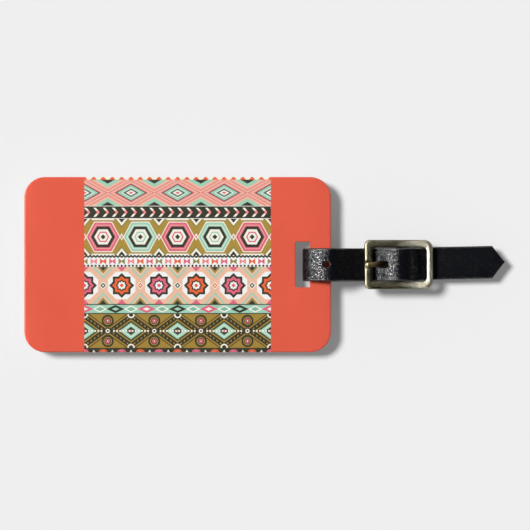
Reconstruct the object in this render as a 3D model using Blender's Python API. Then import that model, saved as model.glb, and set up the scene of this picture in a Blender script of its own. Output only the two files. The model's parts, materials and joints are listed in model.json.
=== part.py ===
"""Luggage tag: a printed rigid plate with a slot, hung on a short leather strap with a buckle.

Frame: origin at the centre of the plate's back face, +X along the plate towards the buckle,
+Y across it, +Z out of the printed front. Every length below is in millimetres.
The strap is one long ribbon that runs in the XZ plane: fold-back end between the layers, wrap
round the buckle's bar, under layer, loop round the plate's rib, upper layer over the bar, tail.
"""

import math

import bmesh
import bpy
from mathutils import Vector

MM = 0.001

# ---- plate ----
PLATE_L = 88.9
PLATE_W = 50.8
PLATE_T = 3.2
CORNER_R = 6.0
CORNER_STEPS = 7
SHEET_T = 0.25  # printed sheet on each face
SHEET_EASE = 0.15
GLUE_GAP = 0.06  # adhesive line between a sheet and the core
SLOT_X0 = 34.15
SLOT_X1 = 38.4
SLOT_HALF_W = 6.6
FIELD_END_X = 31.0  # where the plain field of the plate ends, short of the slot
FIELD_CROWN = 0.012  # the long edges are this much fuller at the end of the field

# ---- strap ----
STRAP_W = 9.4
STRAP_T = 1.5
STRAP_EASE = 0.22
STRAP_SPACING = 0.62  # between cross-sections
SKIVED_T = 0.9  # thickness of the thinned fold-back end
SKIVED_L = 6.3  # length at that thickness
SKIVE_TAPER_L = 6.0  # length over which it grows to the full thickness
RIB_X = (SLOT_X1 + PLATE_L / 2) / 2  # the rib is the bar of plate beyond the slot
RIB_Z = PLATE_T / 2
LOOP_R = 4.3  # mid-line radius of the loop round the rib
WRAP_R = 2.0  # mid-line radius of the leather round the bar
STRAP_END_X = 74.92  # clear of the tail's half-round start
MIN_LAST_STEP = 0.25  # a cross-section nearer than this to the band's end is left out

# ---- tail ----
TAIL_X = 76.0  # the line on which the tail flexes
TAIL_Z = 1.05
TAIL_TIP_X = 94.9
TAIL_POINT_L = 3.6
TAIL_NOSE_L = 0.5  # the blunt end of the point
TAIL_NOSE_HALF_W = 0.45
TAIL_RISE_DEG = 1.1  # the tail leans this much towards +Y
TAIL_DRIFT = 0.3  # and starts this far off the middle
TAIL_PAST_X = 1.0  # what is cut reaches this far past the finished shape
TAIL_PAST_Y = 2.0
TAIL_STENCIL_HALF_H = 2.0

# ---- buckle frame and bar ----
BAR_X = 64.2
BAR_Z = 2.2
BAR_R = 0.9
BAR_HALF_L = 6.75
FRAME_X0 = 54.1
FRAME_X1 = 74.0
FRAME_HALF_W = 7.15
FRAME_Z0 = 2.9
FRAME_Z1 = 5.1
FRAME_BAR_W0 = 2.5  # cross bar at FRAME_X0
FRAME_BAR_W1 = 2.05  # cross bar at FRAME_X1
SIDE_BAR_W = 2.2
FRAME_CORNER_R0 = 1.5
FRAME_CORNER_R1 = 2.6
OPENING_R0 = 0.9
OPENING_R1 = 1.15
OPENING_PAST = 3.0
FRAME_EASE = 0.55
LUG_HALF_X = 1.65
LUG_LOW_Z = 0.5
LUG_SINK = 0.9  # how far the lug runs up into the side bar
LUG_INNER_STEP = 0.15  # from the side bar's inner and outer faces
LUG_OUTER_STEP = 0.3
BAR_HOLE_R = 1.05
BAR_HOLE_PAST = 2.0
NOTCH_DEPTH = 0.4
NOTCH_DROP = 0.05  # the notch floor is this much lower at its +X end
NOTCH_HALF_W = 1.15
NOTCH_PAST = 1.0

# ---- prong ----
EYE_R_IN = 1.1
EYE_R_OUT = 1.95
EYE_HALF_W = 0.8
EYE_CUT_HALF_W = 3.0
PRONG_W = 1.55
PRONG_T = 1.05
PRONG_ROOT_HALF_T = 0.4
PRONG_TIP_X = 54.55
PRONG_SPACING = 0.55
PRONG_SIDES = 12
TIP_SCALE = 0.62  # section scale at the very tip
TIP_TAPER_L = 1.1

# ---- openings of the strap band ----
SLIT_HALF_W = 1.1
EYE_CLEARANCE = 1.0
PRONG_CLEARANCE = 0.22
PRONG_LIFT_DEG = 8.0
PRONG_SPARE_DEG = 5.0  # room for extra turn at both ends of the lift
HOLE_X = 43.1
HOLE_R = 0.8
HOLE_Z0 = 3.4
HOLE_Z1 = 9.0
RIVET_HOLE_Z0 = -4.0
RIVET_HOLE_Z1 = 0.6
RIVET_CLEARANCE = 0.15

# ---- rivet ----
RIVET_X = 51.0
RIVET_R = 0.75
RIVET_SIDES = 28
RIVET_HEAD_R = 1.9
RIVET_HEAD_T = 0.42
RIVET_HEAD_Z = -3.7
RIVET_TOP_Z = 0.05
CAP_Z = -0.15
CAP_EDGE_T = 0.22
CAP_SHOULDER_T = 0.45
CAP_T = 0.55
SOCKET_R = RIVET_R + 0.12
SOCKET_DEPTH = 0.3

LEATHER_COLOUR = (0.012, 0.012, 0.013)
PRINT_COLOUR = (0.75, 0.12, 0.07)
STEEL_COLOUR = (0.2, 0.19, 0.17)


# ---- scene helpers ----

def clear_scene():
    for obj in list(bpy.data.objects):
        bpy.data.objects.remove(obj, do_unlink=True)


def material(name, colour, roughness, metallic=0.0, coat=0.0):
    mat = bpy.data.materials.new(name)
    mat.use_nodes = True
    shader = mat.node_tree.nodes["Principled BSDF"]
    shader.inputs["Base Color"].default_value = (*colour, 1.0)
    shader.inputs["Roughness"].default_value = roughness
    shader.inputs["Metallic"].default_value = metallic
    shader.inputs["Coat Weight"].default_value = coat
    return mat


def pivot(name, x, y, z, parent=None):
    """An empty on a joint's axis."""
    empty = bpy.data.objects.new(name, None)
    bpy.context.scene.collection.objects.link(empty)
    empty.empty_display_size = 3 * MM
    empty.location = Vector((x, y, z)) * MM
    if parent is not None:
        empty.location -= parent.matrix_world.translation
        empty.parent = parent
    bpy.context.view_layer.update()
    return empty


def place(name, bm, mat, parent, origin=None, smooth_deg=35):
    """A mesh object from a bmesh in plate millimetres. Its origin is its parent's unless given."""
    parent_at = parent.matrix_world.translation
    at = parent_at / MM if origin is None else Vector(origin)
    for v in bm.verts:
        v.co = (v.co - at) * MM
    bmesh.ops.recalc_face_normals(bm, faces=bm.faces)
    mesh = bpy.data.meshes.new(name)
    bm.to_mesh(mesh)
    bm.free()
    mesh.shade_smooth()
    mesh.set_sharp_from_angle(angle=math.radians(smooth_deg))
    mesh.materials.append(mat)
    obj = bpy.data.objects.new(name, mesh)
    bpy.context.scene.collection.objects.link(obj)
    obj.location = at * MM - parent_at
    obj.parent = parent
    bpy.context.view_layer.update()
    return obj


def combine(obj, modifier_name, helper_name, bm, operation="DIFFERENCE"):
    """Apply a boolean with a hidden helper that shares the object's parent and material."""
    helper = place(helper_name, bm, obj.data.materials[0], obj.parent)
    helper.hide_render = True
    helper.display_type = "WIRE"
    mod = obj.modifiers.new(modifier_name, "BOOLEAN")
    mod.operation = operation
    mod.solver = "EXACT"
    mod.object = helper


def bevel(obj, name, width, segments, angle_deg):
    mod = obj.modifiers.new(name, "BEVEL")
    mod.width = width * MM
    mod.segments = segments
    mod.limit_method = "ANGLE"
    mod.angle_limit = math.radians(angle_deg)


# ---- outlines and lines ----

def arc(cx, cy, r, start, end, steps):
    """Points of an arc between two angles in degrees."""
    angles = [math.radians(start + (end - start) * i / steps) for i in range(steps + 1)]
    return [(cx + r * math.cos(a), cy + r * math.sin(a)) for a in angles]


def circle(cx, cy, r, count=24):
    return arc(cx, cy, r, 0, 360 - 360 / count, count - 1)


def rounded_rect(x0, x1, half_w, r0, r1, steps):
    """Counter-clockwise from the (x1, +half_w) corner; r0 and r1 are the radii at x0 and x1."""
    centres = (
        (x1 - r1, half_w - r1, r1),
        (x0 + r0, half_w - r0, r0),
        (x0 + r0, r0 - half_w, r0),
        (x1 - r1, r1 - half_w, r1),
    )
    outline = []
    for quarter, (cx, cy, r) in enumerate(centres):
        outline += arc(cx, cy, r, 90 * quarter, 90 * quarter + 90, steps)
    return outline


def lengths_along(points):
    """Distance from the first point to each point."""
    lengths = [0.0]
    for a, b in zip(points, points[1:]):
        lengths.append(lengths[-1] + (b - a).length)
    return lengths


def line_normals(points):
    """Unit normals of a 2D line, on the left of its direction."""
    normals = []
    for i in range(len(points)):
        before = points[max(i - 1, 0)]
        after = points[min(i + 1, len(points) - 1)]
        along = (after - before).normalized()
        normals.append(Vector((-along.y, along.x)))
    return normals


def spline(points, spacing):
    """A centripetal Catmull-Rom curve through the points, resampled to an even spacing."""
    def blend(a, b, ta, tb, t):
        return a * ((tb - t) / (tb - ta)) + b * ((t - ta) / (tb - ta))

    knots = [Vector(p) for p in points]
    knots = [knots[0] * 2 - knots[1], *knots, knots[-1] * 2 - knots[-2]]
    fine = []
    for p0, p1, p2, p3 in zip(knots, knots[1:], knots[2:], knots[3:]):
        t0 = 0.0
        t1 = (p1 - p0).length ** 0.5
        t2 = t1 + (p2 - p1).length ** 0.5
        t3 = t2 + (p3 - p2).length ** 0.5
        for k in range(12):
            t = t1 + (t2 - t1) * k / 12
            a1 = blend(p0, p1, t0, t1, t)
            a2 = blend(p1, p2, t1, t2, t)
            a3 = blend(p2, p3, t2, t3, t)
            b1 = blend(a1, a2, t0, t2, t)
            b2 = blend(a2, a3, t1, t3, t)
            fine.append(blend(b1, b2, t1, t2, t))
    fine.append(knots[-2])

    lengths = lengths_along(fine)
    count = round(lengths[-1] / spacing)
    even, k = [], 0
    for i in range(count + 1):
        s = lengths[-1] * i / count
        while k < len(fine) - 2 and lengths[k + 1] < s:
            k += 1
        even.append(fine[k].lerp(fine[k + 1], (s - lengths[k]) / (lengths[k + 1] - lengths[k])))
    return even


# ---- solids ----

def prism(outline, low, high, axis="z"):
    """A closed prism of a 2D outline, along +Z, or along +Y with the outline in XZ."""
    bm = bmesh.new()
    if axis == "z":
        verts = [bm.verts.new((a, b, low)) for a, b in outline]
        step = Vector((0, 0, high - low))
    else:
        verts = [bm.verts.new((a, low, b)) for a, b in outline]
        step = Vector((0, high - low, 0))
    made = bmesh.ops.extrude_face_region(bm, geom=[bm.faces.new(verts)])
    moved = [g for g in made["geom"] if isinstance(g, bmesh.types.BMVert)]
    bmesh.ops.translate(bm, verts=moved, vec=step)
    bmesh.ops.recalc_face_normals(bm, faces=bm.faces)
    return bm


def cross_prism(outline, half_w):
    """A prism of an XZ outline, centred across the strap."""
    return prism(outline, -half_w, half_w, "y")


def join_rings(bm, rings):
    """Faces between successive closed rings of vertices; a ring of one vertex is a pole."""
    for a, b in zip(rings, rings[1:]):
        count = max(len(a), len(b))
        for i in range(count):
            j = (i + 1) % count
            if len(a) == 1:
                bm.faces.new((a[0], b[i], b[j]))
            elif len(b) == 1:
                bm.faces.new((a[i], a[j], b[0]))
            else:
                bm.faces.new((a[i], a[j], b[j], b[i]))


def tube(sections):
    """A closed solid through rings of points, with a flat face at each end."""
    bm = bmesh.new()
    rings = [[bm.verts.new(point) for point in section] for section in sections]
    join_rings(bm, rings)
    bm.faces.new(rings[0])
    bm.faces.new(list(reversed(rings[-1])))
    return bm


def turned(profile):
    """A (radius, z) profile turned about the rivet's axis."""
    bm = bmesh.new()
    rings = []
    for r, z in profile:
        turns = [2 * math.pi * k / RIVET_SIDES for k in range(RIVET_SIDES)] if r else [0.0]
        rings.append([
            bm.verts.new((RIVET_X + r * math.cos(a), r * math.sin(a), z)) for a in turns
        ])
    join_rings(bm, rings)
    return bm


# ---- plate: a core with a printed sheet bonded to each face ----

CORNER_POINTS = CORNER_STEPS + 1
TOP_SPLIT = CORNER_POINTS  # outline index of the field's end on the +Y edge
BOTTOM_SPLIT = 3 * CORNER_POINTS + 1  # and on the -Y edge


def plate_outline(inset):
    half_l, half_w = PLATE_L / 2 - inset, PLATE_W / 2 - inset
    r = CORNER_R - inset
    outline = rounded_rect(-half_l, half_l, half_w, r, r, CORNER_STEPS)
    outline.insert(TOP_SPLIT, (FIELD_END_X, half_w + FIELD_CROWN))
    outline.insert(BOTTOM_SPLIT, (FIELD_END_X, -half_w - FIELD_CROWN))
    return outline


def slot_outline(inset):
    x0, x1 = SLOT_X0 - inset, SLOT_X1 + inset
    half_w = SLOT_HALF_W + inset
    return [(x0, -half_w), (x1, -half_w), (x1, half_w), (x0, half_w)]


def plate_layer(levels):
    """One layer of the plate from (z, edge inset) levels, lowest first."""
    bm = bmesh.new()
    outer = [[bm.verts.new((x, y, z)) for x, y in plate_outline(inset)] for z, inset in levels]
    inner = [[bm.verts.new((x, y, z)) for x, y in slot_outline(inset)] for z, inset in levels]
    join_rings(bm, outer)
    join_rings(bm, inner)
    for ring, hole in ((outer[0], inner[0]), (outer[-1], inner[-1])):
        # plain field
        bm.faces.new(ring[TOP_SPLIT:BOTTOM_SPLIT + 1])
        # slot end, from the -Y split round to the +Y one: four faces round the slot
        end = ring[BOTTOM_SPLIT:] + ring[:TOP_SPLIT + 1]
        half = len(end) // 2
        bm.faces.new((end[0], hole[0], hole[3], end[-1]))
        bm.faces.new(end[:half] + [hole[1], hole[0]])
        bm.faces.new((end[half - 1], end[half], hole[2], hole[1]))
        bm.faces.new(end[half:] + [hole[3], hole[2]])
    return bm


def build_plate(parent):
    core_inset = SHEET_T + GLUE_GAP
    core = plate_layer([(core_inset, 0.0), (PLATE_T - core_inset, 0.0)])
    front = plate_layer([
        (PLATE_T - SHEET_T, 0.0), (PLATE_T - SHEET_EASE, 0.0), (PLATE_T, SHEET_EASE),
    ])
    back = plate_layer([(0.0, SHEET_EASE), (SHEET_EASE, 0.0), (SHEET_T, 0.0)])
    acrylic = material("white_acrylic", colour=(0.86, 0.85, 0.82), roughness=0.25)
    print_front = material("printed_front", colour=PRINT_COLOUR, roughness=0.18, coat=0.6)
    print_back = material("printed_back", colour=PRINT_COLOUR, roughness=0.22, coat=0.4)
    place("tag_core", core, acrylic, parent)
    place("front_print_sheet", front, print_front, parent)
    place("back_print_sheet", back, print_back, parent)


# ---- strap band ----

# (x, z) points of the strap's mid-line
FOLD_BACK = [
    (48.95, -0.85), (51.0, -0.85), (53.6, -0.83), (56.0, -0.62), (58.5, 0.25), (60.6, 1.85),
]
UNDER_LAYER = [
    (62.4, -0.2), (60.0, -1.35), (57.2, -2.15), (54.0, -2.3), (50.5, -2.3), (47.0, -2.33),
    (44.2, -2.55),
]
UPPER_LAYER = [
    (37.3, 3.75), (37.85, 4.95), (38.9, 5.8), (40.4, 6.3), (42.0, 6.62), (43.7, 6.75),
    (45.4, 6.3), (47.2, 5.1), (49.0, 3.75), (50.9, 2.5), (53.0, 1.6), (55.4, 1.32),
    (57.4, 2.25), (59.4, 3.6), (61.4, 4.95), (63.3, 5.9), (65.2, 6.15), (67.2, 5.45),
    (69.1, 3.6), (70.9, 1.95), (72.9, 1.17), (STRAP_END_X, TAIL_Z), (TAIL_X, TAIL_Z),
]


def band_line():
    """The mid-line from the fold-back end to the band's end, short of the tail."""
    wrap = arc(BAR_X, BAR_Z, WRAP_R, 128, -68, 9)
    loop = arc(RIB_X, RIB_Z, LOOP_R, -88, -190, 6)
    full = spline(FOLD_BACK + wrap + UNDER_LAYER + loop + UPPER_LAYER, STRAP_SPACING)
    line = [p for p in full if p.x <= STRAP_END_X]
    end = Vector((STRAP_END_X, TAIL_Z))
    if (line[-1] - end).length < MIN_LAST_STEP:
        line.pop()
    return line + [end]


def band_solid():
    line = band_line()
    half_w = STRAP_W / 2
    flat_w = half_w - STRAP_EASE
    sections = []
    for p, normal, length in zip(line, line_normals(line), lengths_along(line)):
        growth = min(max((length - SKIVED_L) / SKIVE_TAPER_L, 0.0), 1.0)
        half_t = (SKIVED_T + (STRAP_T - SKIVED_T) * growth) / 2
        flat_t = half_t - STRAP_EASE
        section = (
            (-flat_w, half_t), (flat_w, half_t), (half_w, flat_t), (half_w, -flat_t),
            (flat_w, -half_t), (-flat_w, -half_t), (-half_w, -flat_t), (-half_w, flat_t),
        )
        sections.append([
            (p.x + normal.x * offset, y, p.y + normal.y * offset) for y, offset in section
        ])
    bm = tube(sections)
    bmesh.ops.recalc_face_normals(bm, faces=bm.faces)
    return bm


def turned_about_bar(x, z, degrees):
    """A point of XZ turned about the buckle's bar, positive lifting the side of the plate."""
    a = math.radians(degrees)
    dx, dz = x - BAR_X, z - BAR_Z
    return (
        BAR_X + dx * math.cos(a) + dz * math.sin(a),
        BAR_Z - dx * math.sin(a) + dz * math.cos(a),
    )


def prong_sweep():
    """The outline in XZ that the prong's shaft needs as it turns about the bar."""
    line = [p for p in prong_line() if p.x < BAR_X - 0.2]
    reach = PRONG_T / 2 + PRONG_CLEARANCE
    highest = PRONG_LIFT_DEG + PRONG_SPARE_DEG
    low = [turned_about_bar(p.x, p.y - reach, -PRONG_SPARE_DEG) for p in line]
    high = [turned_about_bar(p.x, p.y + reach, highest) for p in line]
    return high + low[::-1]


def build_band(parent):
    leather = material("black_leather", colour=LEATHER_COLOUR, roughness=0.42)
    band = place("strap_band", band_solid(), leather, parent)
    slit = cross_prism(circle(BAR_X, BAR_Z, EYE_R_OUT + EYE_CLEARANCE), SLIT_HALF_W)
    combine(band, "EyeSlit", "eye_slit_cutter", slit)
    combine(band, "ProngHole", "prong_hole_cutter", cross_prism(prong_sweep(), SLIT_HALF_W))
    punched = prism(circle(HOLE_X, 0, HOLE_R, 18), HOLE_Z0, HOLE_Z1)
    combine(band, "PunchedHole", "punched_hole_cutter", punched)
    rivet_circle = circle(RIVET_X, 0, RIVET_R + RIVET_CLEARANCE, 18)
    rivet_hole = prism(rivet_circle, RIVET_HOLE_Z0, RIVET_HOLE_Z1)
    combine(band, "RivetHole", "rivet_hole_cutter", rivet_hole)


# ---- tail: a flat strip with a half-round start on the flex line and a pointed end ----

def tail_outline():
    half_w = STRAP_W / 2
    start_x = TAIL_X - STRAP_T / 2
    shoulder_x = TAIL_TIP_X - TAIL_POINT_L
    rise = math.tan(math.radians(TAIL_RISE_DEG))
    shoulder_y = TAIL_DRIFT + (shoulder_x - start_x) * rise
    tip_y = TAIL_DRIFT + (TAIL_TIP_X - start_x) * rise
    stations = [  # x, middle y, half width
        (start_x - TAIL_PAST_X, TAIL_DRIFT, half_w),
        (shoulder_x, shoulder_y, half_w),
        (TAIL_TIP_X - TAIL_NOSE_L, tip_y, TAIL_NOSE_HALF_W),
    ]
    lower = [(x, middle - half) for x, middle, half in stations]
    upper = [(x, middle + half) for x, middle, half in stations]
    return lower + [(TAIL_TIP_X, tip_y)] + upper[::-1]


def build_tail(parent):
    leather = material("black_leather_tail", colour=LEATHER_COLOUR, roughness=0.5)
    half_t = STRAP_T / 2
    profile = arc(TAIL_X, TAIL_Z, half_t, 90, 270, 8) + [
        (TAIL_TIP_X + TAIL_PAST_X, TAIL_Z - half_t),
        (TAIL_TIP_X + TAIL_PAST_X, TAIL_Z + half_t),
    ]
    strip = cross_prism(profile, STRAP_W / 2 + TAIL_PAST_Y)
    tail = place("strap_tail", strip, leather, parent, smooth_deg=30)
    stencil = prism(tail_outline(), TAIL_Z - TAIL_STENCIL_HALF_H, TAIL_Z + TAIL_STENCIL_HALF_H)
    combine(tail, "Outline", "tail_outline_shape", stencil, "INTERSECT")
    bevel(tail, "EdgeEase", STRAP_EASE, segments=1, angle_deg=40)


# ---- buckle frame: a ring of four bars, with a lug at each side for the bar ----

def lug_solid(side):
    outline = [
        (BAR_X + LUG_HALF_X, FRAME_Z0 + LUG_SINK),
        (BAR_X - LUG_HALF_X, FRAME_Z0 + LUG_SINK),
    ] + arc(BAR_X, LUG_LOW_Z + LUG_HALF_X, LUG_HALF_X, 180, 360, 10)
    inner = side * (FRAME_HALF_W - SIDE_BAR_W + LUG_INNER_STEP)
    outer = side * (FRAME_HALF_W - LUG_OUTER_STEP)
    return prism(outline, min(inner, outer), max(inner, outer), "y")


def notch_solid():
    x0 = FRAME_X0 - NOTCH_PAST
    x1 = FRAME_X0 + FRAME_BAR_W0 + NOTCH_PAST
    floor_z = FRAME_Z1 - NOTCH_DEPTH
    top_z = FRAME_Z1 + NOTCH_PAST
    outline = [(x0, floor_z), (x1, floor_z - NOTCH_DROP), (x1, top_z), (x0, top_z)]
    return cross_prism(outline, NOTCH_HALF_W)


def build_frame(parent):
    brass = material("antique_brass", colour=(0.19, 0.17, 0.09), roughness=0.34, metallic=1.0)
    outline = rounded_rect(
        FRAME_X0, FRAME_X1, FRAME_HALF_W, FRAME_CORNER_R0, FRAME_CORNER_R1, steps=5
    )
    frame = place("buckle_frame", prism(outline, FRAME_Z0, FRAME_Z1), brass, parent, smooth_deg=30)
    opening = rounded_rect(
        FRAME_X0 + FRAME_BAR_W0, FRAME_X1 - FRAME_BAR_W1, FRAME_HALF_W - SIDE_BAR_W,
        OPENING_R0, OPENING_R1, steps=4,
    )
    opening_solid = prism(opening, FRAME_Z0 - OPENING_PAST, FRAME_Z1 + OPENING_PAST)
    combine(frame, "Opening", "frame_opening_cutter", opening_solid)
    bevel(frame, "RoundEdges", FRAME_EASE, segments=3, angle_deg=50)
    for letter, side in (("a", 1), ("b", -1)):
        combine(frame, "Lug", f"lug_shape_{letter}", lug_solid(side), "UNION")
    bore = cross_prism(circle(BAR_X, BAR_Z, BAR_HOLE_R), FRAME_HALF_W + BAR_HOLE_PAST)
    combine(frame, "BarHoles", "bar_hole_cutter", bore)
    combine(frame, "ProngNotch", "prong_notch_cutter", notch_solid())


def build_bar(parent):
    """The plain pin through both lugs that the strap and the prong turn on."""
    brass = material("brass_bar", colour=(0.2, 0.18, 0.1), roughness=0.3, metallic=1.0)
    pin = cross_prism(circle(BAR_X, BAR_Z, BAR_R), BAR_HALF_L)
    place("buckle_bar", pin, brass, parent, smooth_deg=30)


# ---- prong: an eye round the bar and a shaft that narrows at its tip ----

def prong_line():
    """The shaft's mid-line in XZ, from the eye to the tip."""
    return spline(
        [
            (BAR_X + 0.2, BAR_Z + 1.52), (62.6, 3.72), (61.0, 3.98), (59.2, 4.56),
            (57.4, 5.27), (55.9, 5.6), (PRONG_TIP_X, 5.66),
        ],
        PRONG_SPACING,
    )


def shaft_solid():
    line = prong_line()
    turns = [2 * math.pi * k / PRONG_SIDES for k in range(PRONG_SIDES)]
    sections = []
    for i, (p, normal) in enumerate(zip(line, line_normals(line))):
        to_tip = (p - line[-1]).length
        scale = min(1.0, TIP_SCALE + (1 - TIP_SCALE) * to_tip / TIP_TAPER_L)
        half_w, half_t = PRONG_W / 2 * scale, PRONG_T / 2 * scale
        if i == 0:
            half_w, half_t = EYE_HALF_W, PRONG_ROOT_HALF_T
        section = [(half_w * math.cos(a), half_t * math.sin(a)) for a in turns]
        sections.append([
            (p.x + normal.x * offset, y, p.y + normal.y * offset) for y, offset in section
        ])
    return tube(sections)


def build_prong(parent):
    brass = material("brass_prong", colour=(0.24, 0.21, 0.12), roughness=0.3, metallic=1.0)
    eye = cross_prism(circle(BAR_X, BAR_Z, EYE_R_OUT, 48), EYE_HALF_W)
    prong = place("buckle_prong", eye, brass, parent, smooth_deg=30)
    combine(prong, "Shaft", "prong_shaft_shape", shaft_solid(), "UNION")
    eye_hole = cross_prism(circle(BAR_X, BAR_Z, EYE_R_IN), EYE_CUT_HALF_W)
    combine(prong, "EyeHole", "eye_hole_cutter", eye_hole)


# ---- rivet through the under layer and the fold-back: a post with a flat head, and a cap ----

def build_rivet_post(parent):
    steel = material("rivet_steel", colour=STEEL_COLOUR, roughness=0.4, metallic=1.0)
    head_top = RIVET_HEAD_Z + RIVET_HEAD_T
    post = turned([
        (0, RIVET_HEAD_Z),
        (RIVET_HEAD_R - 0.25, RIVET_HEAD_Z),
        (RIVET_HEAD_R, RIVET_HEAD_Z + 0.2),
        (RIVET_HEAD_R, head_top),
        (RIVET_R, head_top),
        (RIVET_R, RIVET_TOP_Z),
        (0, RIVET_TOP_Z),
    ])
    place("rivet_post", post, steel, parent, origin=(RIVET_X, 0, 0), smooth_deg=30)


def build_rivet_cap(parent):
    steel = material("rivet_cap_steel", colour=STEEL_COLOUR, roughness=0.38, metallic=1.0)
    cap = turned([
        (SOCKET_R, CAP_Z),
        (RIVET_HEAD_R, CAP_Z),
        (RIVET_HEAD_R, CAP_Z + CAP_EDGE_T),
        (RIVET_HEAD_R - 0.35, CAP_Z + CAP_SHOULDER_T),
        (0, CAP_Z + CAP_T),
    ])
    # the cap is blind: a socket over the post
    rim = [e for e in cap.edges if e.is_boundary]
    wall = bmesh.ops.extrude_edge_only(cap, edges=rim)
    raised = [g for g in wall["geom"] if isinstance(g, bmesh.types.BMVert)]
    bmesh.ops.translate(cap, verts=raised, vec=(0, 0, SOCKET_DEPTH))
    bmesh.ops.contextual_create(cap, geom=[e for e in cap.edges if e.is_boundary])
    place("rivet_cap", cap, steel, parent, origin=(RIVET_X, 0, 0), smooth_deg=30)


def build():
    clear_scene()
    plate = pivot("plate_frame", 0, 0, 0)
    swing = pivot("strap_pivot", RIB_X, 0, RIB_Z, plate)
    tilt = pivot("buckle_pivot", BAR_X, 0, BAR_Z, swing)
    lift = pivot("prong_pivot", BAR_X, 0, BAR_Z, tilt)
    flex = pivot("tail_pivot", TAIL_X, 0, TAIL_Z, swing)

    build_plate(plate)
    build_band(swing)
    build_tail(flex)
    build_frame(tilt)
    build_bar(tilt)
    build_prong(lift)
    build_rivet_post(swing)
    build_rivet_cap(swing)


build()
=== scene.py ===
"""Looks of the luggage tag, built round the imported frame.

Lengths in this file are millimetres in the part's own frame until they are written to a mesh:
+X along the plate towards the strap, +Y across it, +Z out of the printed front.
"""
import json
import math
import random

import bmesh
import bpy
import numpy as np
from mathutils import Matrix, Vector, noise

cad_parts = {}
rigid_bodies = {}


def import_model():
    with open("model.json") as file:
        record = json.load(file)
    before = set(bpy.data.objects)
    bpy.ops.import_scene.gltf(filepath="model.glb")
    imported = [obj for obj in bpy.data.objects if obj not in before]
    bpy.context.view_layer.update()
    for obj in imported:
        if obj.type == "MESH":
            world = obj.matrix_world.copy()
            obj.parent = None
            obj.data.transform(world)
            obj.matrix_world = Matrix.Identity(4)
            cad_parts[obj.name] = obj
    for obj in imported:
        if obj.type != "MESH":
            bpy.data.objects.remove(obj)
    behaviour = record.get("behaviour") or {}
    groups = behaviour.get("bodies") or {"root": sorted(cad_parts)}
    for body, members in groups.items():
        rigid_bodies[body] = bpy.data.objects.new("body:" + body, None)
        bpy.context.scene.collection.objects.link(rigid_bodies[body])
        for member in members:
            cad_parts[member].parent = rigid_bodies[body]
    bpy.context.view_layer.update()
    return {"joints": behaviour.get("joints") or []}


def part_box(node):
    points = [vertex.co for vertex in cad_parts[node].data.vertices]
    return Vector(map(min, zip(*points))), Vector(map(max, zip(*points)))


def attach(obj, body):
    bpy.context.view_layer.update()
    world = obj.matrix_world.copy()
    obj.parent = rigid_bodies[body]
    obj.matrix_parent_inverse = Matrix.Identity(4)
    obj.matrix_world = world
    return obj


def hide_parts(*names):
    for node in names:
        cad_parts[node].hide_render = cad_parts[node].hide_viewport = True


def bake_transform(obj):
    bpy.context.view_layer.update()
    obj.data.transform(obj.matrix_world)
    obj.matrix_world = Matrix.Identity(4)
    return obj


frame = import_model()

MM = 0.001


def span(node):
    """A node's lowest and highest corners, in millimetres."""
    lo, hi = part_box(node)
    return np.array(lo) / MM, np.array(hi) / MM


CORE_LO, CORE_HI = span("tag_core")
FRONT_LO, FRONT_HI = span("front_print_sheet")
BACK_LO, BACK_HI = span("back_print_sheet")
BAND_LO, BAND_HI = span("strap_band")
TAIL_LO, TAIL_HI = span("strap_tail")
BUCKLE_LO, BUCKLE_HI = span("buckle_frame")
BAR_LO, BAR_HI = span("buckle_bar")
JOINTS = {j["name"]: j for j in frame["joints"]}
BAR_X, BAR_Z = (BAR_LO[0] + BAR_HI[0]) / 2, (BAR_LO[2] + BAR_HI[2]) / 2
RIB_X = JOINTS["strap_swing"]["pos_m"][0] / MM
RIB_Z = JOINTS["strap_swing"]["pos_m"][2] / MM
FLEX_X = JOINTS["tail_flex"]["pos_m"][0] / MM
FLEX_Z = JOINTS["tail_flex"]["pos_m"][2] / MM


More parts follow.
